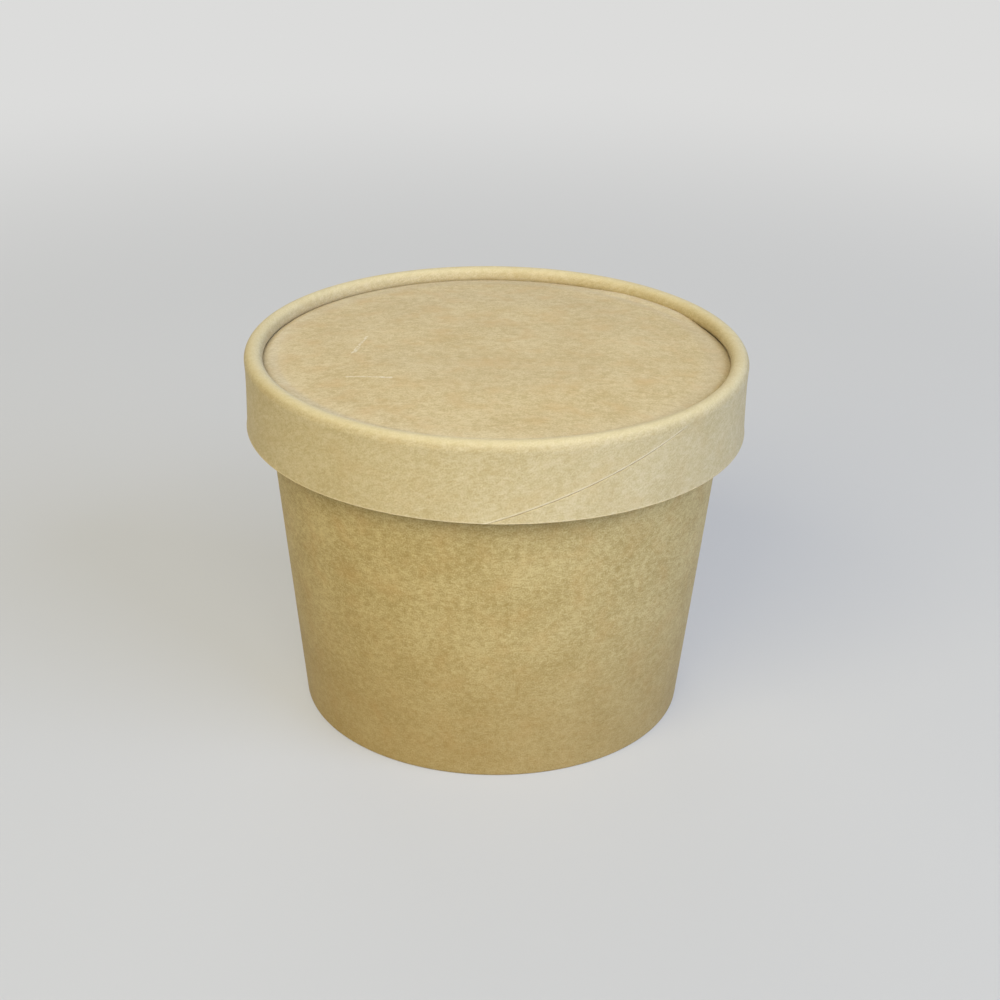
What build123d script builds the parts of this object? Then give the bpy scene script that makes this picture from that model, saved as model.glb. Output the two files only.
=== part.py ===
from build123d import *
import os
from math import asin, atan2, cos, degrees, hypot, radians, sin, tan

# Kraft paper ice cream tub with a push-on paper lid, in millimetres.
# The tub stands on the floor at Z = 0 with its axis on Z, and its side seam is at the back, towards +Y.
# Each piece is bent from board: the board's section is drawn as radius and height, and turned about the axis.

# Tub wall
rim_diameter = 90.0  # across the outside of the rolled rim
foot_diameter = 72.4  # across the outside of the wall at the floor
tub_height = 66.5  # floor to the top of the rolled rim
wall_board = 0.45  # thickness of the wall's board
rim_roll_diameter = 2.5  # across the roll's own section
hem_top_gap = 0.9  # from the base's underside down to the upper edge of the hem folded in below it
seam_lap = 9.0  # width of the side seam's double layer, at the foot
seam_ramp = 3.0  # width over which the upper layer comes down to the wall
seam_end_gap = 1.0  # from the seam's ends to the floor and to the rim roll

# Tub base
base_board = 0.45  # thickness of the base's board
foot_recess = 6.5  # floor to the underside of the base
skirt_end_gap = 0.2  # from the skirt's lower edge to the fold that holds it

# Lid
band_board = 0.7  # thickness of the wound band
band_depth = 14.68  # the band's lower edge to the top of its bead
bead_diameter = 3.4  # across the bead's own section
panel_board = 0.45  # thickness of the panel's board
shoulder_width = 5.0  # radial width of the panel's sloping edge
shoulder_slope = 28.0  # degrees that this edge falls
flange_length = 4.0  # height of the edge that is turned down inside the band

# Fits
glue_line = 0.03  # between two glued boards
lid_clearance = 0.15  # between the rim's outside and the flange's inside
seat_clearance = 0.05  # between the rim roll and the panel that rests on it
bead_clearance = 0.05  # between the bead and the panel's sloping edge

# Each roll's turns are pressed together, so a roll is one ring, with this many flats round its section
roll_sides = 12

# Slope of the wall: from the foot's outer edge to the innermost line of the rim roll
rim_radius = rim_diameter / 2
foot_radius = foot_diameter / 2
rim_roll_radius = rim_roll_diameter / 2
rim_roll_center = Vector(rim_radius - rim_roll_radius, tub_height - rim_roll_radius)
lean = rim_radius - rim_roll_diameter - foot_radius
rise = rim_roll_center.Y
wall_slope = atan2(lean, rise) + asin(wall_board / hypot(lean, rise))
out_of_wall = Vector(cos(wall_slope), -sin(wall_slope))

# How far the outer face of each layer at the foot lies inside the wall's outer face
skirt_inset = wall_board + glue_line
hem_inset = skirt_inset + base_board + glue_line

# Lid, from the rim outwards and upwards
flange_radius = rim_radius + lid_clearance + panel_board
band_radius = flange_radius + glue_line + band_board
bead_radius = bead_diameter / 2
shoulder_fall = tan(radians(shoulder_slope))
seat_gap = (rim_roll_radius + seat_clearance + panel_board) / cos(radians(shoulder_slope))
bead_gap = (bead_radius + bead_clearance) / cos(radians(shoulder_slope))
flange_top = rim_roll_center.Y + seat_gap - (flange_radius - rim_roll_center.X) * shoulder_fall
bead_center_radius = band_radius - bead_radius
bead_center_height = flange_top + (flange_radius - bead_center_radius) * shoulder_fall + bead_gap
bead_center = Vector(bead_center_radius, bead_center_height)
lid_top = bead_center_height + bead_radius


def wall_radius(height, inset):
    """Radius, at a height, of the line that lies inset inside the wall's outer face."""
    return foot_radius + height * tan(wall_slope) - inset / cos(wall_slope)


def board_section(points, thickness):
    """Section of a board with one face along the points, and its thickness on their right."""
    return make_face(offset(Polyline(*points), thickness, kind=Kind.INTERSECTION, side=Side.RIGHT))


def roll_section(center, radius):
    """Section of a rolled edge, with corners at its outermost, innermost, highest and lowest points."""
    return Pos(center) * RegularPolygon(radius, roll_sides)


def turned(section):
    """A ring or disc with this section, turned about the axis."""
    return revolve(Plane.XZ * section, Axis.Z)


def seam_plan(height):
    """Plan of the side seam's upper layer: one square edge, and a ramp down to the wall at the other."""
    lap_sweep = degrees(seam_lap / foot_radius)
    ramp_sweep = degrees(seam_ramp / foot_radius)
    start = 90 - (lap_sweep + ramp_sweep) / 2
    face = CenterArc((0, 0), wall_radius(height, -wall_board), start, lap_sweep)
    buried = CenterArc((0, 0), wall_radius(height, wall_board / 2), start, lap_sweep + ramp_sweep)
    outline = [face, buried, Line(face @ 0, buried @ 0), Line(face @ 1, buried @ 1)]
    return Plane.XY.offset(height) * make_face(outline)


def tub_wall():
    """Cone of board: hemmed in under the base's skirt, lapped at its side seam and rolled out at the rim."""
    hem_top = foot_recess - hem_top_gap
    hem_edge = (wall_radius(hem_top, hem_inset + wall_board), hem_top)
    foot_inside = (wall_radius(0, hem_inset + wall_board), 0)
    foot_outside = (foot_radius, 0)
    wall_top = Vector(rim_radius - rim_roll_diameter, rise) + out_of_wall * wall_board
    board = board_section([wall_top, foot_outside, foot_inside, hem_edge], wall_board)
    cone = turned(board + roll_section(rim_roll_center, rim_roll_radius))
    seam_top = tub_height - rim_roll_diameter - seam_end_gap
    return cone + loft([seam_plan(seam_end_gap), seam_plan(seam_top)], ruled=True)


def tub_base():
    """Recessed disc with a turned-down skirt, held between the wall and its hem."""
    top = foot_recess + base_board
    skirt_end = wall_board + skirt_end_gap
    edge = (wall_radius(top, skirt_inset), top)
    skirt_edge = (wall_radius(skirt_end, skirt_inset), skirt_end)
    return turned(board_section([(0, top), edge, skirt_edge], base_board))


def lid_band():
    """Wound ring of board whose top edge is rolled inwards into a bead."""
    lower_edge = (band_radius, lid_top - band_depth)
    upper_edge = (band_radius, bead_center_height)
    board = board_section([upper_edge, lower_edge], band_board)
    return turned(board + roll_section(bead_center, bead_radius))


def lid_panel():
    """Flat disc with a sloping shoulder and a turned-down flange, glued inside the band."""
    shoulder_radius = flange_radius - shoulder_width
    shoulder_top = flange_top + shoulder_width * shoulder_fall
    disc = [(0, shoulder_top), (shoulder_radius, shoulder_top)]
    flange = [(flange_radius, flange_top), (flange_radius, flange_top - flange_length)]
    return turned(board_section(disc + flange, panel_board))


os.makedirs("parts", exist_ok=True)
for make_piece in (tub_wall, tub_base, lid_band, lid_panel):
    export_step(make_piece(), f"parts/{make_piece.__name__}.step")
print(f"wall slope {degrees(wall_slope):.2f} degrees, lid {2 * band_radius:.2f} across, {lid_top:.2f} high")
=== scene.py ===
import bpy
import numpy as np
from mathutils import Matrix, Vector


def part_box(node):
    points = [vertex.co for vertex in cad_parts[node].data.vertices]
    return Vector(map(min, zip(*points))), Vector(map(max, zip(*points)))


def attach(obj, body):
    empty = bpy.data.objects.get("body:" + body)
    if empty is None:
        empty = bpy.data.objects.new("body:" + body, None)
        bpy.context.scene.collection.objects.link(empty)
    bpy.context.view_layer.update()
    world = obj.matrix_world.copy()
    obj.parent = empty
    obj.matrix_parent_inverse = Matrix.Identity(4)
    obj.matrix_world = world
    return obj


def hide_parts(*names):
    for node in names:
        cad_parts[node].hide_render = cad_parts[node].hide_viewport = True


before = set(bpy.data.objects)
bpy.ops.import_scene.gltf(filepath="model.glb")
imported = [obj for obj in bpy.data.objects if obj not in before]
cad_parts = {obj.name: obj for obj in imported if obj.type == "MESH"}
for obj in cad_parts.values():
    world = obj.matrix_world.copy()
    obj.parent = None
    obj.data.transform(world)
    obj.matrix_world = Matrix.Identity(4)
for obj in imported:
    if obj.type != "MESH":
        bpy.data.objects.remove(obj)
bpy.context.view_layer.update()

# Tub wall: one blank of brown kraft board, wrapped into a cone and glued along a lapped seam at the back.
# Its top edge is rolled outwards into the rim, and its foot is folded in and up to grip the base's skirt.
# The inner face has a thin clear lining, which keeps what the tub holds from soaking into the board.
mm = 0.001
wall_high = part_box("tub_wall")[1]
rim_radius = wall_high.x / mm
tub_height = wall_high.z / mm
foot_radius = 36.2
wall_board = 0.45
rim_roll_radius = 1.25
rim_roll_end = -132.0  # degrees, where the rolled edge comes back to the wall
fold_radius = 0.42  # of the middle of the board, at the foot
hem_top = 5.5
hem_inset = 1.185  # from the wall's outer face in to the middle of the hem
seam_lap = 9.0
seam_ramp = 3.0
seam_low = 1.1  # heights between which the seam has its upper layer
seam_high = 63.2
seam_fade = 0.5
cut_edge_width = 0.1
edge_light_width = 0.16  # of the pale line along the seam's cut edge
glue_shadow_width = 0.3  # of the dark line at its foot, glue with painted shadow
seam_share = 0.6  # of these lines' colours: the pale cut edge, and the glue with painted shadow at its foot
edge_dome_share = 0.35  # of half a board, by which a cut edge bulges
sharp_turn = 40.0  # degrees, past which two faces meet in an edge
sway_depth = 0.05  # how far the wall strays from round at half its height
relief_depth = 0.05  # of the board's surface
cloud_size = 8.0  # of the board's mottling, from its clouds down to its grain
blotch_size = 4.6
flock_size = 1.2
streak_size = 0.42
grain_size = 0.32
cloud_weight = 1.0  # how much each of them lightens and darkens the board
flock_weight = 1.5
streak_weight = 1.3
grain_weight = 2.2
tone_reach = 0.8  # sum of them at which the board is at its palest or deepest
flock_pull = (0.85, 1, 1)  # place is shortened along the grain, which draws out what lies on it
streak_pull = (0.32, 1, 1)
fibre_width = 0.1
lining_weight = 0.7
lining_roughness = 0.18
foot_shade_top = 42.0  # height at which the painted shade towards the wall's foot has faded out
foot_shade_share = 0.48
kraft_pale = (189, 170, 116)
kraft_deep = (152, 130, 73)
kraft_warm = (174, 137, 76)
kraft_warmth = 0.35  # share of the warmer brown in its blotches
foot_shade_brown = (144, 117, 64)
glue_shadow_brown = (112, 84, 42)
fibre_pale = (220, 202, 152)
fibre_dark = (146, 114, 60)
fibre_pale_share = 0.11
fibre_dark_share = 0.1

roll_height = tub_height - rim_roll_radius
lean = rim_radius - 2 * rim_roll_radius - foot_radius
wall_slope = np.arctan2(lean, roll_height) + np.arcsin(wall_board / np.hypot(lean, roll_height))
slope_degrees = np.degrees(wall_slope)


def wall_radius(height, inset):
    """Radius of the line that lies inset inside the wall's outer face; it grows evenly with height."""
    return foot_radius + height * np.tan(wall_slope) - inset / np.cos(wall_slope)


def smooth(value, low, high):
    """0 up to low and 1 from high on, with the cubic 3tt - 2ttt between them."""
    t = np.clip((value - low) / (high - low), 0, 1)
    return t * t * (3 - 2 * t)


def straight(start, end, steps):
    """Points of a flat stretch of board in section, evenly spaced from start to end."""
    return np.linspace(start, end, steps)


def arc(center, radius, start, end, steps):
    """Points of a bend in section: center plus radius times cosine and sine, from start to end degrees."""
    angle = np.radians(np.linspace(start, end, steps))
    return np.column_stack((center[0] + radius * np.cos(angle), center[1] + radius * np.sin(angle)))


def chain(*stretches):
    """One path from stretches that each start where the one before ends."""
    return np.vstack((stretches[0], *[stretch[1:] for stretch in stretches[1:]]))


def board_loop(path, thickness, cut_start=True):
    """Outline of a board in section: the path moved half its thickness to the right, a cut edge, and the
    path moved to the left and run backwards. A second cut edge closes it, unless the path starts on the
    axis. Each cut edge bulges a little, as a sine."""
    run = np.gradient(path, axis=0)
    along = run / np.linalg.norm(run, axis=1, keepdims=True)
    side = np.column_stack((along[:, 1], -along[:, 0])) * thickness / 2
    swing = np.linspace(0, np.pi, 7)[1:-1, None]
    dome = edge_dome_share * thickness / 2 * np.sin(swing)
    end_edge = path[-1] + side[-1] * np.cos(swing) + along[-1] * dome
    start_edge = path[0] - side[0] * np.cos(swing) - along[0] * dome
    outline = [path + side, end_edge, (path - side)[::-1]]
    return np.vstack(outline + [start_edge] * cut_start)


def path_run(path):
    """Distance along a path to each of its points, as a column: the running sum of its steps."""
    steps = np.hypot(*np.diff(path, axis=0).T)
    return np.concatenate(([0], np.cumsum(steps)))[:, None]


def turn(radius, height, angle):
    """Points at a radius and height, carried round the axis by radius times the angle's cosine and sine."""
    return np.stack(np.broadcast_arrays(radius * np.cos(angle), radius * np.sin(angle), height), axis=-1)


def turned_piece(name, points, poles=False, **marks):
    """Object whose mesh is a grid of points, section by angle, with marks as vertex attributes. The angle
    closes on itself, and so does the section, unless its end rows are poles on the axis: each is then one
    point, with a fan of triangles."""
    rows, columns = points.shape[:2]
    number = np.arange(rows * columns).reshape(rows, columns)
    if poles:
        number = np.maximum(number - columns + 1, 0)
        number[-1] = (rows - 2) * columns + 1
    below, above = number[: rows - poles], np.roll(number, -1, axis=0)[: rows - poles]
    corners = np.stack((below, np.roll(below, -1, axis=1), np.roll(above, -1, axis=1), above), axis=-1)
    corners = corners.reshape(-1, 4)
    faces = [corners]
    if poles:
        faces = [corners[:columns, [0, 2, 3]], corners[columns:-columns], corners[-columns:, :3]]
    sizes = np.concatenate([np.full(len(group), group.shape[1]) for group in faces])

    def listed(grid):
        """The grid's values in the order of the vertices, as one flat array."""
        if poles:
            grid = np.concatenate((grid[0, :1], grid[1:-1].reshape(-1, *grid.shape[2:]), grid[-1, :1]))
        return grid.astype(np.float32).ravel()

    mesh = bpy.data.meshes.new(name)
    mesh.vertices.add(number.max() + 1)
    mesh.vertices.foreach_set("co", listed(points * mm))
    mesh.loops.add(sizes.sum())
    mesh.loops.foreach_set("vertex_index", np.concatenate([group.ravel() for group in faces]))
    mesh.polygons.add(len(sizes))
    mesh.polygons.foreach_set("loop_start", np.cumsum(sizes) - sizes)
    mesh.update(calc_edges=True)
    mesh.shade_smooth()
    mesh.set_sharp_from_angle(angle=np.radians(sharp_turn))
    for mark, grid in marks.items():
        kind, field = ("FLOAT_VECTOR", "vector") if grid.ndim == 3 else ("FLOAT", "value")
        mesh.attributes.new(mark, kind, "POINT").data.foreach_set(field, listed(grid))
    piece = bpy.data.objects.new(name, mesh)
    bpy.context.scene.collection.objects.link(piece)
    return piece


fold_height = wall_board / 2 + fold_radius
hem_bend_center = (wall_radius(fold_height, hem_inset - fold_radius), fold_height)
hem_bend = arc(hem_bend_center, fold_radius, 180 - slope_degrees, 270, 8)
foot_bend_center = (wall_radius(fold_height, wall_board / 2 + fold_radius), fold_height)
foot_bend = arc(foot_bend_center, fold_radius, 270, 360 - slope_degrees, 8)
roll_center = (rim_radius - rim_roll_radius, roll_height)
rim_roll = arc(roll_center, rim_roll_radius - wall_board / 2, 180 - slope_degrees, rim_roll_end, 44)
wall_path = chain(
    straight((wall_radius(hem_top, hem_inset), hem_top), hem_bend[0], 6),
    hem_bend,
    straight(hem_bend[-1], foot_bend[0], 2),
    foot_bend,
    straight(foot_bend[-1], rim_roll[0], 48),
    rim_roll,
)
wall_section = board_loop(wall_path, wall_board)
wall_r, wall_z = wall_section[:, :1], wall_section[:, 1:]

# The seam's upper layer starts with a cut edge and comes down over a ramp, where the lower one ends inside.
# Columns run once round, from the top of that edge to its foot, so the edge itself closes the ring
lap_sweep = seam_lap / foot_radius
ramp_sweep = seam_ramp / foot_radius
edge_sweep = cut_edge_width / foot_radius
seam_start = np.pi / 2 - (lap_sweep + ramp_sweep) / 2
beside_edge = np.array((0, 0.12, 0.25, 0.4, 0.6)) / foot_radius
seam_columns = np.array((lap_sweep, lap_sweep + edge_sweep, lap_sweep + ramp_sweep))
edge_room = 0.9 / foot_radius
even_turn = np.linspace(edge_room, 2 * np.pi - edge_room, 480)
wall_columns = (edge_sweep + beside_edge, seam_columns, even_turn, 2 * np.pi - beside_edge)
wall_turn = np.sort(np.concatenate(wall_columns))
wall_angle = seam_start + wall_turn
ramp = np.clip((lap_sweep + ramp_sweep - wall_turn) / ramp_sweep, 0, 1)
upper_layer = np.clip(wall_turn / edge_sweep, 0, 1) * ramp
lower_end = np.clip((wall_turn - lap_sweep) / edge_sweep, 0, 1) * ramp


def on_line(value, line, room=0.03):
    """True where a value lies on a line, with a little room on each side, in millimetres."""
    return np.isclose(value, line, atol=room)


above_foot = smooth(wall_z, seam_low - seam_fade, seam_low + seam_fade)
below_rim = 1 - smooth(wall_z, seam_high - seam_fade, seam_high + seam_fade)
outer_rows = on_line(wall_r, wall_radius(wall_z, 0)) * above_foot * below_rim
inner_rows = on_line(wall_r, wall_radius(wall_z, wall_board)) * above_foot * below_rim

# The wall strays from round in two, three and seven waves, most at half its height
sway = np.cos(2 * wall_angle + 0.7) + 0.7 * np.cos(3 * wall_angle - 1.1) + 0.4 * np.cos(7 * wall_angle + 2.0)
bulge = sway_depth * np.sin(np.pi * np.clip(wall_z / roll_height, 0, 1)) * sway
wall_reach = wall_r + wall_board * (outer_rows * upper_layer + inner_rows * lower_end) + bulge
lined_rows = on_line(wall_r, wall_radius(wall_z, wall_board)) * np.ones_like(wall_angle)
past_edge = (wall_turn - edge_sweep) * foot_radius
before_edge = (2 * np.pi - wall_turn) * foot_radius
edge_light = np.exp(-((past_edge / edge_light_width) ** 2))
glue_shadow = np.exp(-((before_edge / glue_shadow_width) ** 2))
seam_marks = outer_rows * (edge_light - glue_shadow)
sheet_along, sheet_up = np.broadcast_arrays(wall_turn * rim_radius, path_run(wall_section))
wall_sheet = np.stack((sheet_along, sheet_up, np.zeros_like(sheet_along)), axis=-1)
wall_points = turn(wall_reach, wall_z, wall_angle)
wall = turned_piece("wall", wall_points, sheet=wall_sheet, lining=lined_rows, seam=seam_marks)


class Signal:
    """A socket of a shader node. Sums, differences and products of signals and numbers add Math nodes."""

    def __init__(self, socket):
        self.socket = socket

    def plug(self, inputs):
        """Give each named socket of this signal's node a value, or the signal that feeds it."""
        node = self.socket.node
        for key, value in inputs.items():
            socket = next(s for s in node.inputs if key in (s.identifier, s.name))
            if isinstance(value, Signal):
                node.id_data.links.new(value.socket, socket)
            else:
                socket.default_value = value
        return self

    def node(self, kind, settings, inputs, output=0):
        """Signal from an output of a new node of this kind, its settings set first and then its sockets."""
        made = self.socket.id_data.nodes.new("ShaderNode" + kind)
        for setting, value in settings.items():
            setattr(made, setting, value)
        return Signal(made.outputs[output]).plug(inputs)

    def output(self, name):
        """Another output of the node that this signal comes from."""
        return Signal(self.socket.node.outputs[name])

    def math(self, operation, first, second=0.0):
        return self.node("Math", {"operation": operation}, {"Value": first, "Value_001": second})

    def __add__(self, other):
        return self.math("ADD", self, other)

    def __sub__(self, other):
        return self.math("SUBTRACT", self, other)

    def __rsub__(self, other):
        return self.math("SUBTRACT", other, self)

    def __mul__(self, other):
        return self.math("MULTIPLY", self, other)

    def __abs__(self):
        return self.math("ABSOLUTE", self)

    __radd__ = __add__
    __rmul__ = __mul__

    def ease(self, low, high):
        """0 up to low and 1 from high on, smooth between them."""
        inputs = {"Value": self, "From Min": low, "From Max": high}
        return self.node("MapRange", {"interpolation_type": "SMOOTHSTEP"}, inputs)

    def vector(self, operation, other, output=0):
        """Vector Math on this signal and another vector."""
        inputs = {"Vector": self, "Vector_001": other}
        return self.node("VectorMath", {"operation": operation}, inputs, output)

    def noise(self, size, detail=2.0):
        """Soft noise at this place, from 0 to 1, whose patches are about a size across."""
        return self.node("TexNoise", {}, {"Vector": self, "Scale": 1 / size, "Detail": detail})

    def wander(self, size, reach):
        """This place moved by up to a reach along each axis, by noise with patches about a size across."""
        push = self.noise(size).output("Color")
        inputs = {"Vector": push, "Vector_001": reach, "Vector_002": self}
        return self.node("VectorMath", {"operation": "MULTIPLY_ADD"}, inputs)

    def mix(self, first, second):
        """The first colour where this signal is 0, and the second where it is 1."""
        inputs = {"Factor_Float": self, "A_Color": first, "B_Color": second}
        return self.node("Mix", {"data_type": "RGBA"}, inputs, "Result")


def shade(red, green, blue):
    """A colour given as it shows on a screen, from 0 to 255, in the linear values that a shader takes."""
    screen = np.array((red, green, blue)) / 255
    return (*(((screen + 0.055) / 1.055) ** 2.4), 1.0)


def fibres(place, spacing, width, reach):
    """Mask of short fibres: each cell of space holds a plane through its own point, turned at random, and
    the mask is 1 near that plane and within reach of the point. The place wanders first, so they curl."""
    bent = place.wander(2.5 * spacing, (0.6 * spacing,) * 3)
    cell = bent.node("TexVoronoi", {}, {"Vector": bent, "Scale": 1 / spacing}, "Position")
    away = bent.vector("SUBTRACT", cell)
    facing = cell.output("Color").vector("SUBTRACT", (0.5, 0.5, 0.5)).vector("NORMALIZE", (0, 0, 0))
    across = abs(away.vector("DOT_PRODUCT", facing, "Value"))
    distance = away.vector("LENGTH", (0, 0, 0), "Value")
    return (1 - across.ease(0.3 * width, width)) * (1 - distance.ease(0.5 * reach, reach))


def kraft(piece, name, pale, deep, warm, warmth, sheet=None):
    """A kraft board finish for a piece, laid out on the attribute that is named, or else on the piece's own
    X and Y, with the board's grain along X. Its tone goes between a deep and a pale brown in clouds, flocks,
    specks and streaks that wander along the grain. Blotches of a warmer brown, as strong as the warmth, and
    a few fibres lie over it. Returns the shader, the place in millimetres, the colour and the relief."""
    material = bpy.data.materials.new(name)
    material.use_nodes = True
    piece.data.materials.append(material)
    shader = Signal(material.node_tree.nodes["Principled BSDF"].outputs["BSDF"])
    shader.plug({"Specular IOR Level": 0.32, "Sheen Weight": 0.05, "Sheen Roughness": 0.5})
    place = shader.node("TexCoord", {}, {}, "Object").vector("MULTIPLY", (1 / mm,) * 3)
    flat = shader.node("Attribute", {"attribute_name": sheet}, {}, "Vector") if sheet else place
    drawn = flat.vector("MULTIPLY", flock_pull)
    clouds = drawn.noise(cloud_size)
    flocks = drawn.noise(flock_size, 3.0)
    blotches = drawn.vector("ADD", (31, 17, 5)).noise(blotch_size, 3.0)
    streaks = flat.wander(7.0, (4, 4, 0)).vector("MULTIPLY", streak_pull).noise(streak_size)
    grain = flat.noise(grain_size)
    pale_fibres = fibres(drawn, 1.1, fibre_width, 0.8)
    dark_fibres = fibres(drawn.vector("ADD", (7, 3, 11)), 1.4, fibre_width, 0.7)
    tone = cloud_weight * (clouds - 0.5) + flock_weight * (flocks - 0.5)
    tone = tone + streak_weight * (streaks - 0.5) + grain_weight * (grain - 0.5)
    colour = tone.ease(-tone_reach, tone_reach).mix(shade(*deep), shade(*pale))
    colour = (warmth * blotches.ease(0.42, 0.85)).mix(colour, shade(*warm))
    colour = (fibre_dark_share * dark_fibres).mix(colour, shade(*fibre_dark))
    colour = (fibre_pale_share * pale_fibres).mix(colour, shade(*fibre_pale))
    relief = 0.7 * grain + 0.5 * streaks + 0.4 * flocks + 0.2 * pale_fibres
    return shader, place, colour, relief


def dullness(place):
    """The board's roughness, which drifts between 0.55 and 0.8."""
    return 0.55 + 0.25 * place.noise(2.5)


def lay_on(shader, colour, roughness, relief):
    """Give a kraft shader its colour, its roughness, and its relief as a shallow bump."""
    bump_inputs = {"Height": relief, "Strength": 1.0, "Distance": relief_depth * mm}
    bump = shader.node("Bump", {}, bump_inputs, "Normal")
    shader.plug({"Base Color": colour, "Roughness": roughness, "Normal": bump})


wall_finish = kraft(wall, "tub_kraft", kraft_pale, kraft_deep, kraft_warm, kraft_warmth, "sheet")
wall_shader, wall_place, wall_colour, wall_relief = wall_finish
wall_up = wall_place.node("SeparateXYZ", {}, {"Vector": wall_place}, "Z")
seam_edge = wall_shader.node("Attribute", {"attribute_name": "seam"}, {}, "Fac")
# Painted shade: the wall's colour grows darker towards its foot
wall_colour = (foot_shade_share * (1 - wall_up.ease(0, foot_shade_top))).mix(wall_colour, shade(*foot_shade_brown))
wall_colour = (seam_share * seam_edge.ease(0.2, 0.9)).mix(wall_colour, shade(*fibre_pale))
# Glue and painted shadow: a dark line along the foot of the seam's cut edge
wall_colour = (seam_share * (1 - seam_edge.ease(-0.9, -0.2))).mix(wall_colour, shade(*glue_shadow_brown))
lining = wall_shader.node("Attribute", {"attribute_name": "lining"}, {}, "Fac")
wall_shader.plug({"Coat Weight": lining_weight * lining, "Coat Roughness": lining_roughness})
lay_on(wall_shader, wall_colour, dullness(wall_place), wall_relief)
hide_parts("tub_wall")
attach(wall, "tub")

# Tub base: a disc of the same board with its edge turned down into a skirt, set up inside the wall.
# The skirt is glued to the wall, and the wall's hem is folded over it from inside, so that the base stands
# clear of the floor.
base_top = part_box("tub_base")[1].z / mm
skirt_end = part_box("tub_base")[0].z / mm
base_board = 0.45
skirt_inset = 0.705  # from the wall's outer face in to the middle of the skirt
base_bend_radius = 0.6
base_crown = 0.18  # how far the middle stands above the edge
base_ripple = 0.3

base_middle = base_top - base_board / 2
bend_height = base_middle - base_bend_radius
base_bend_center = (wall_radius(bend_height, skirt_inset + base_bend_radius), bend_height)
base_bend = arc(base_bend_center, base_bend_radius, 90, -slope_degrees, 10)
skirt_edge = (wall_radius(skirt_end + 0.08, skirt_inset), skirt_end + 0.08)
base_disc = straight((0, base_middle), base_bend[0], 40)
base_path = chain(base_disc, base_bend, straight(base_bend[-1], skirt_edge, 8))
base_section = board_loop(base_path, base_board, cut_start=False)
base_r, base_z = base_section[:, :1], base_section[:, 1:]
base_angle = np.linspace(0, 2 * np.pi, 240, endpoint=False)
disc_share = np.clip(1 - (base_r / base_bend_center[0]) ** 2, 0, 1)
ripple = 0.5 * np.cos(2 * base_angle + 0.4) + 0.5 * np.cos(3 * base_angle - 0.9)
base_lift = disc_share * base_crown + disc_share * (1 - disc_share) * base_ripple * ripple
base_lined = (base_z > base_middle) * np.ones_like(base_angle)
base = turned_piece("base", turn(base_r, base_z + base_lift, base_angle), poles=True, lining=base_lined)

base_finish = kraft(base, "base_kraft", kraft_pale, kraft_deep, kraft_warm, kraft_warmth)
base_shader, base_place, base_colour, base_relief = base_finish
base_lining = base_shader.node("Attribute", {"attribute_name": "lining"}, {}, "Fac")
base_shader.plug({"Coat Weight": lining_weight * base_lining, "Coat Roughness": lining_roughness})
lay_on(base_shader, base_colour, dullness(base_place), base_relief)
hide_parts("tub_base")
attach(base, "tub")

# Lid band: a ring cut from a tube of kraft paper wound in a spiral, so the strip's joint climbs across it.
# Its top edge is rolled inwards into a bead with a painted highlight on its crest, and its lower edge is
# left as it was cut, with a little fuzz and a painted highlight.
band_low, band_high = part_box("lid_band")
band_radius = band_high.x / mm
band_bottom = band_low.z / mm
lid_top = band_high.z / mm
band_board = 0.7
bead_radius = 1.7
bead_end = 266.0  # degrees, where the rolled edge ends under the bead
waist = 0.21  # how far the band's side lies inside the bead
joint_rise = 18.8  # degrees that the joint climbs
joint_start = -91.1  # degrees round the axis, where the joint leaves the lower edge
joint_depth = 0.1
joint_width = 0.14
joint_step = 0.06
joint_fade = 0.8  # below the bead's middle, over which the joint dies away
joint_room = 4.0  # on each side of the joint, where columns crowd together
flare_share = 0.28  # of the waist, by which the lower edge stands out again
nip_depth = 0.16  # how far the bead's inner side draws back where the gap beside it is open
nip_turns = (140, 225)  # degrees round the bead, between which it comes to draw back in full
line_reach = (0.05, 0.2)  # from the joint, over which its dark line fades: a dark joint with painted shadow in its groove
ridge_highlight_reach = (-0.55, -0.2, -0.2, -0.08)  # where the painted highlight on its ridge starts, is whole, starts to fall and ends
joint_share = 0.45  # of these lines' colours
fuzz_highlight_height = 0.45  # of the pale fuzz at the lower edge, which is partly a painted highlight
fuzz_highlight_share = 0.2
crest_highlight_start = 0.6  # above the bead's middle, where the painted highlight on its crest begins
crest_highlight_share = 0.36
band_pale = (195, 180, 139)
band_deep = (173, 155, 107)
band_warm = (181, 155, 103)
band_warmth = 0.35
bead_highlight = (247, 232, 178)
joint_dark_and_shadow = (128, 104, 66)
edge_highlight = (228, 216, 182)

bead_center = (band_radius - bead_radius, lid_top - bead_radius)
bead = arc(bead_center, bead_radius - band_board / 2, 0, bead_end, 60)
band_edge = (bead[0, 0], band_bottom + edge_dome_share * band_board / 2)
band_path = chain(straight(band_edge, bead[0], 30), bead)
band_section = board_loop(band_path, band_board)
band_r, band_z = band_section[:, :1], band_section[:, 1:]

# Columns lean with the joint, which is the line where they start and end, and crowd together beside it
joint_slope = np.radians(joint_rise)
climb = np.minimum(band_z, bead_center[1]) - band_bottom
lean_angle = np.radians(joint_start) + climb / (band_radius * np.tan(joint_slope))
beside_joint = np.array((0.12, 0.25, 0.4, 0.55, 0.7, 0.9, 1.2, 1.6, 2.2, 3.0)) / band_radius
room_turn = joint_room / band_radius
even_columns = np.linspace(room_turn, 2 * np.pi - room_turn, 560)
turn_on = np.concatenate(([0], beside_joint, even_columns, 2 * np.pi - beside_joint[::-1]))
from_joint = np.where(turn_on > np.pi, turn_on - 2 * np.pi, turn_on) * band_radius * np.sin(joint_slope)
band_angle = lean_angle + turn_on

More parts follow.
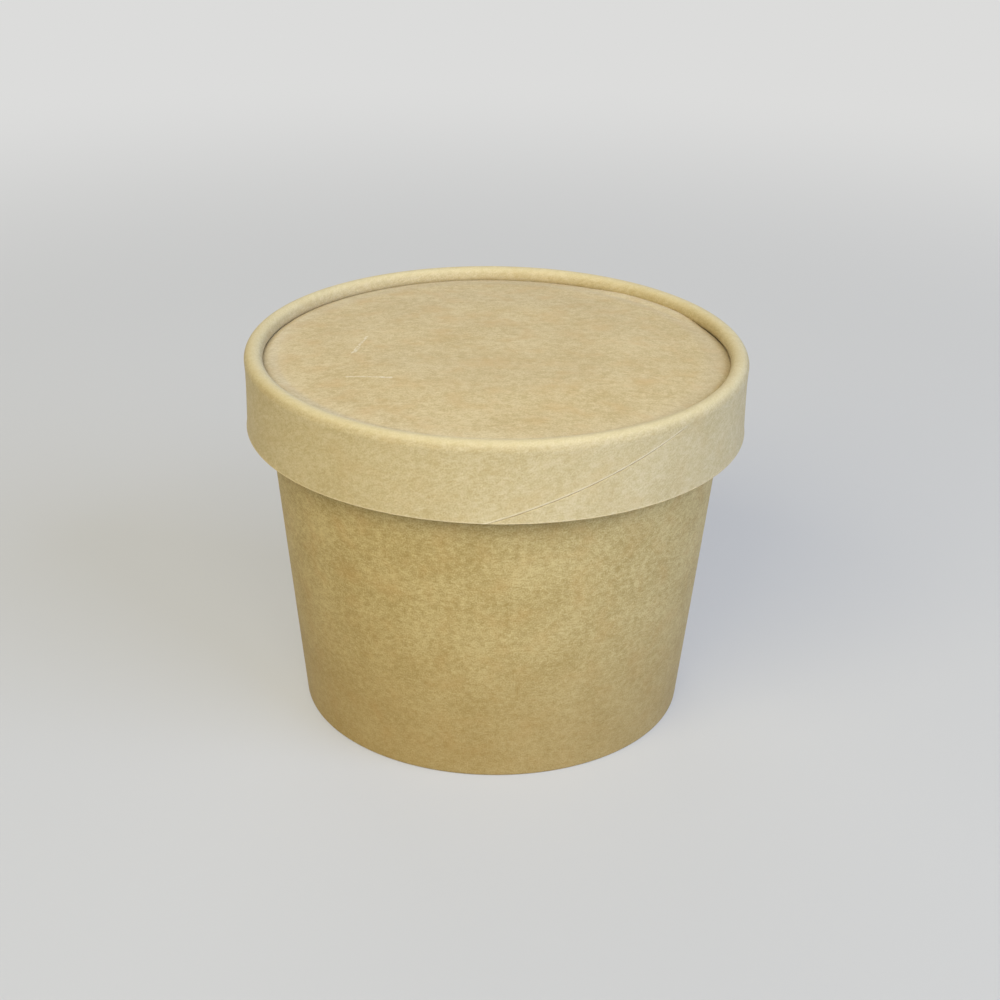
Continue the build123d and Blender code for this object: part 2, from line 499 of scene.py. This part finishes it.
share_up = np.clip((band_z - band_bottom) / (bead_center[1] - band_bottom), 0, 1)
hollow = waist * (1 - flare_share * (1 - share_up) ** 4) * (1 - share_up ** 6)
bead_turn = np.degrees(np.arctan2(band_z - bead_center[1], band_r - bead_center[0])) % 360
from_bead = np.hypot(band_r - bead_center[0], band_z - bead_center[1])
side_rows = on_line(band_r, band_radius) & (band_z < bead_center[1] + 0.01)
skin_rows = side_rows | (on_line(from_bead, bead_radius) & (band_z > bead_center[1]))
joint_rows = skin_rows * (1 - smooth(band_z, bead_center[1] - joint_fade, bead_center[1] + 0.3))
groove = -joint_depth * np.exp(-((from_joint / joint_width) ** 2))
ridge = joint_step * np.exp(-np.abs(from_joint) / 1.2) * (from_joint < 0)
band_reach = band_r - hollow * side_rows + joint_rows * (groove + ridge)

# The bead is not pressed on to the panel evenly, so the gap beside it opens and closes on the way round
opening_angle = (0, 12, 24, 34, 54, 64, 85, 110, 130, 152, 172, 190, 270, 345)
opening_share = (0.8, 1.0, 0.8, 0.0, 0.05, 0.6, 0.7, 0.65, 0.65, 0.6, 0.5, 0.3, 0.3, 0.6)


def opening(angle):
    """How far the gap beside the bead is open at an angle, from 0 to 1: straight lines between shares."""
    return np.interp(np.degrees(angle), opening_angle, opening_share, period=360)


nip_rows = on_line(from_bead, bead_radius) * smooth(bead_turn, *nip_turns)
nip = nip_depth * nip_rows * opening(band_angle)
band_reach = band_reach - nip * np.cos(np.radians(bead_turn))
band_height = band_z - nip * np.sin(np.radians(bead_turn))

around = (band_angle - np.radians(joint_start)) * band_radius
strip_up = path_run(band_section)
along_strip = around * np.cos(joint_slope) + strip_up * np.sin(joint_slope)
across_strip = strip_up * np.cos(joint_slope) - around * np.sin(joint_slope)
strip = np.stack((along_strip, across_strip, np.zeros_like(along_strip)), axis=-1)
beside = from_joint + np.zeros_like(band_angle)
band = turned_piece("band", turn(band_reach, band_height, band_angle), strip=strip, joint=beside)

band_finish = kraft(band, "band_kraft", band_pale, band_deep, band_warm, band_warmth, "strip")
band_shader, band_place, band_colour, band_relief = band_finish
strip_place = band_shader.node("Attribute", {"attribute_name": "strip"}, {}, "Vector")
streaks = strip_place.vector("MULTIPLY", (0.07, 1.1, 1)).noise(1.0, 3.0)
gap = band_shader.node("Attribute", {"attribute_name": "joint"}, {}, "Fac")
band_height_up = band_place.node("SeparateXYZ", {}, {"Vector": band_place}, "Z")
below_bead = 1 - band_height_up.ease(bead_center[1] - joint_fade, bead_center[1])
broken = strip_place.vector("MULTIPLY", (0.3, 0, 0)).noise(1.0).ease(0.35, 0.65)
joint_dark_and_shadow_line = (1 - abs(gap).ease(*line_reach)) * broken * below_bead
ridge_highlight = gap.ease(*ridge_highlight_reach[:2]) * (1 - gap.ease(*ridge_highlight_reach[2:])) * below_bead
fuzz = band_place.noise(0.7, 3.0)
fuzz_highlight = 1 - (band_height_up + 0.5 * (fuzz - 0.5)).ease(band_bottom, band_bottom + fuzz_highlight_height)
crest_highlight = band_height_up.ease(bead_center[1] + crest_highlight_start, lid_top)
band_colour = (0.5 * streaks.ease(0.55, 0.8)).mix(band_colour, shade(*band_deep))
# Dark joint with painted shadow in its groove
band_colour = (joint_share * joint_dark_and_shadow_line).mix(band_colour, shade(*joint_dark_and_shadow))
# Painted highlight along the joint's ridge, where its step catches the light
band_colour = (joint_share * ridge_highlight).mix(band_colour, shade(*edge_highlight))
# Pale fuzz of the cut lower edge, with a painted highlight where the edge catches the light
band_colour = (fuzz_highlight_share * fuzz_highlight).mix(band_colour, shade(*edge_highlight))
# Painted highlight: the bead's crest grows paler towards its top
band_colour = (crest_highlight_share * crest_highlight).mix(band_colour, shade(*bead_highlight))
band_relief = band_relief + 0.5 * streaks + 0.6 * fuzz_highlight * fuzz
lay_on(band_shader, band_colour, dullness(band_place), band_relief)
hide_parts("lid_band")
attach(band, "lid")

# Lid panel: a disc of kraft board pressed to a shallow crown, with a sloping shoulder and a flange.
# The flange is turned down and glued into the band below its bead, and the shoulder rests on the rim when
# the lid is on.
panel_low, panel_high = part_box("lid_panel")
flange_radius = panel_high.x / mm
flange_end = panel_low.z / mm
panel_top = panel_high.z / mm
panel_board = 0.45
shoulder_width = 5.0
shoulder_slope = 28.0  # degrees
shoulder_bend_radius = 14.0
flange_bend_radius = 0.7
panel_crown = 1.2
crown_start = 20.0  # radii between which the crown comes down
crown_end = 39.5
wave_height = 0.05
edge_raise = 0.85  # of the shoulder beside the bead, where the gap there is shut
edge_radii = (39.8, 42.3, 42.9, 43.9)  # where the raised edge starts, is whole, starts to fall and ends
open_fall_share = 0.8  # of this raise, lost where the gap is open
panel_pale = (213, 194, 145)
panel_deep = (185, 162, 108)
panel_warm = (199, 166, 108)
panel_warmth = 0.65
shoulder_highlight_radii = (36.5, 41.5)  # between which the sloping shoulder has a painted highlight
shoulder_highlight_share = 0.25
scratch_share = 0.6
scratch_lines = (  # start, end and width of each, in plan
    ((-26.4, -4.5), (-24.2, 3.9), 0.34),
    ((-26.2, -4.6), (-25.4, -1.4), 0.42),
    ((-26.6, -15.2), (-18.6, -16.3), 0.2),
    ((-20.2, -16.2), (-18.6, -16.4), 0.36),
    ((-23.4, -15.5), (-23.0, -15.6), 0.4),
)
shoulder_highlight_pale = (218, 211, 188)
scratch_pale = (236, 226, 196)

panel_middle = panel_top - panel_board / 2
half_turn = np.radians(shoulder_slope) / 2
crease_radius = flange_radius - shoulder_width - panel_board / 2 * np.tan(half_turn)
shoulder_start = crease_radius - shoulder_bend_radius * np.tan(half_turn)
shoulder_center = (shoulder_start, panel_middle - shoulder_bend_radius)
shoulder_bend = arc(shoulder_center, shoulder_bend_radius, 90, 90 - shoulder_slope, 24)
flange_bend_r = flange_radius - panel_board / 2 - flange_bend_radius
shoulder_fall = np.tan(np.radians(shoulder_slope))
slope_at_bend = shoulder_bend[-1, 1] - (flange_bend_r - shoulder_bend[-1, 0]) * shoulder_fall
flange_bend_z = slope_at_bend - flange_bend_radius / np.cos(np.radians(shoulder_slope))
flange_bend = arc((flange_bend_r, flange_bend_z), flange_bend_radius, 90 - shoulder_slope, 0, 10)
flange_edge = (flange_bend[-1, 0], flange_end + 0.08)
panel_path = chain(
    straight((0, panel_middle), shoulder_bend[0], 60),
    shoulder_bend,
    straight(shoulder_bend[-1], flange_bend[0], 8),
    flange_bend,
    straight(flange_bend[-1], flange_edge, 6),
)
panel_section = board_loop(panel_path, panel_board, cut_start=False)
panel_r, panel_z = panel_section[:, :1], panel_section[:, 1:]
panel_angle = np.linspace(0, 2 * np.pi, 400, endpoint=False)
panel_x, panel_y = panel_r * np.cos(panel_angle), panel_r * np.sin(panel_angle)
crown_share = 1 - smooth(panel_r, crown_start, crown_end)
waves = np.sin(panel_y / 3.4 + 0.8 * np.sin(panel_x / 9)) + 0.8 * np.sin(panel_x / 6.5 + panel_y / 8 + 1.3)
edge_share = smooth(panel_r, *edge_radii[:2]) * (1 - smooth(panel_r, *edge_radii[2:]))
shut = 1 - open_fall_share * opening(panel_angle)
panel_lift = crown_share * (panel_crown + wave_height * waves) + edge_raise * edge_share * shut
panel = turned_piece("panel", turn(panel_r, panel_z + panel_lift, panel_angle), poles=True)


def scratch(place, start, end, width):
    """Mask of a straight scratch on the panel: 1 near the line from start to end in plan, 0 a width away."""
    span = np.subtract(end, start)
    away = place.vector("MULTIPLY", (1, 1, 0)).vector("SUBTRACT", (*start, 0))
    along = away.vector("DOT_PRODUCT", (*(span / (span @ span)), 0), "Value")
    clamped = along.node("Clamp", {}, {"Value": along})
    nearest = away.node("CombineXYZ", {}, {"X": clamped * float(span[0]), "Y": clamped * float(span[1])})
    return 1 - away.vector("SUBTRACT", nearest).vector("LENGTH", (0, 0, 0), "Value").ease(width / 2, width)


panel_finish = kraft(panel, "panel_kraft", panel_pale, panel_deep, panel_warm, panel_warmth)
panel_shader, panel_place, panel_colour, panel_relief = panel_finish
rub = panel_place.noise(0.6, 3.0).ease(0.36, 0.6)
scratches = sum(scratch(panel_place, *line) for line in scratch_lines)
panel_reach = panel_place.vector("MULTIPLY", (1, 1, 0)).vector("LENGTH", (0, 0, 0), "Value")
# Painted highlight on the sloping shoulder beside the bead, patchy by noise
bent = panel_reach.ease(*shoulder_highlight_radii) * (0.5 + 0.6 * panel_place.noise(7.0))
panel_colour = (shoulder_highlight_share * bent).mix(panel_colour, shade(*shoulder_highlight_pale))
panel_colour = (scratch_share * rub * scratches.ease(0, 1)).mix(panel_colour, shade(*scratch_pale))
panel_relief = panel_relief - 0.5 * scratches
lay_on(panel_shader, panel_colour, dullness(panel_place), panel_relief)
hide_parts("lid_panel")
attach(panel, "lid")

# Floor: one wide pale grey sheet, which the tub stands on and which fills the picture.
# It is plain and matt and keeps the tub's soft shadow. Away from the tub it fades into a pale backdrop.
floor_half_width = 12.0
floor_grey = (199, 199, 194)
backdrop_grey = (220, 220, 219)
fade_start = 0.22
fade_end = 0.5
shade_left_out = 0.4  # share of the tub's shadow that the floor doesn't show
floor_corner = np.array(((-1, -1, 0), (1, -1, 0), (1, 1, 0), (-1, 1, 0))) * floor_half_width
floor_mesh = bpy.data.meshes.new("floor")
floor_mesh.from_pydata(floor_corner.tolist(), [], [(0, 1, 2, 3)])
floor = bpy.data.objects.new("floor", floor_mesh)
bpy.context.scene.collection.objects.link(floor)
floor_material = bpy.data.materials.new("floor_paint")
floor_material.use_nodes = True
floor_nodes = floor_material.node_tree.nodes
floor_shader = Signal(floor_nodes["Principled BSDF"].outputs["BSDF"])
floor_shader.plug({"Base Color": shade(*floor_grey), "Roughness": 0.9, "Specular IOR Level": 0.2})


def seen(shader):
    """1 on the camera's rays and the mirrored and refracted ones that it sees, and 0 on those that light."""
    ray = shader.node("LightPath", {}, {}, "Is Camera Ray")
    straight_or_bent = ray + ray.output("Is Glossy Ray") + ray.output("Is Transmission Ray")
    return shader.math("MINIMUM", straight_or_bent, 1.0)


floor_place = floor_shader.node("TexCoord", {}, {}, "Object")
far_off = floor_place.vector("LENGTH", (0, 0, 0), "Value").ease(fade_start, fade_end)
fade = shade_left_out + (1 - shade_left_out) * far_off
backdrop = floor_shader.node("Emission", {}, {"Color": shade(*backdrop_grey), "Strength": 1.0})
ground_inputs = {"Fac": fade * seen(floor_shader), "Shader": floor_shader, "Shader_001": backdrop}
ground = floor_shader.node("MixShader", {}, ground_inputs)
floor_material.node_tree.links.new(ground.socket, floor_nodes["Material Output"].inputs["Surface"])
floor_mesh.materials.append(floor_material)

# Light: dim, even daylight, a warm light at the front left, a cool window at the right, and two weaker ones.
# All are large, so that shadows have no hard edges, and bright enough for a colour to show about as written.
daylight = 0.115
lamp_aim = Vector((0, 0, 0.04))  # the middle of the tub
world = bpy.data.worlds.new("daylight")
bpy.context.scene.world = world
world.use_nodes = True
sky = Signal(world.node_tree.nodes["Background"].outputs["Background"])
in_view = seen(sky)
sky_strength = daylight + (1.0 - daylight) * in_view
sky.plug({"Color": in_view.mix((1.0, 1.0, 1.0, 1.0), shade(*backdrop_grey)), "Strength": sky_strength})


def lamp(name, place, width, power, tint):
    """A square area light at a place, in metres, that faces the tub."""
    light = bpy.data.lights.new(name, "AREA")
    light.size = width
    light.energy = power
    light.color = tint
    holder = bpy.data.objects.new(name, light)
    holder.location = place
    holder.rotation_euler = (lamp_aim - Vector(place)).to_track_quat("-Z", "Y").to_euler()
    bpy.context.scene.collection.objects.link(holder)


lamp("front_left", (-0.8, -1.25, 1.2), 1.2, 23.0, (1.0, 0.9, 0.64))
lamp("front", (0.1, -1.45, 1.0), 0.9, 11.5, (0.97, 0.99, 1.0))
lamp("window", (1.2, -0.8, 0.8), 1.2, 28.5, (0.54, 0.65, 1.0))
lamp("back", (-0.3, 1.5, 0.75), 0.9, 4.8, (1.0, 1.0, 1.0))

# Camera: a little above the lid and about four tub widths away, level but for a slight roll.
# Its lens, height and roll come from the ellipses of the bead, the band's lower edge and the foot.
focal_length = 73.66  # millimetres, on a sensor 36 wide
camera_distance = 0.3899
camera_elevation = np.radians(24.976)
camera_roll = np.radians(0.989)
camera_aim = Vector((0.001056, 0, 0.03876))
back = Vector((0, -np.cos(camera_elevation), np.sin(camera_elevation)))
across = Vector((1, 0, 0))
upward = back.cross(across)
camera_right = across * np.cos(camera_roll) + upward * np.sin(camera_roll)
camera_up = upward * np.cos(camera_roll) - across * np.sin(camera_roll)
camera_data = bpy.data.cameras.new("camera")
camera_data.lens = focal_length
camera_data.sensor_width = 36.0
camera_data.clip_start = 0.01
camera = bpy.data.objects.new("camera", camera_data)
turned_axes = Matrix((camera_right, camera_up, back)).transposed().to_4x4()
camera.matrix_world = Matrix.Translation(camera_aim + back * camera_distance) @ turned_axes
bpy.context.scene.collection.objects.link(camera)
bpy.context.scene.camera = camera
bpy.context.scene.view_settings.view_transform = "Standard"
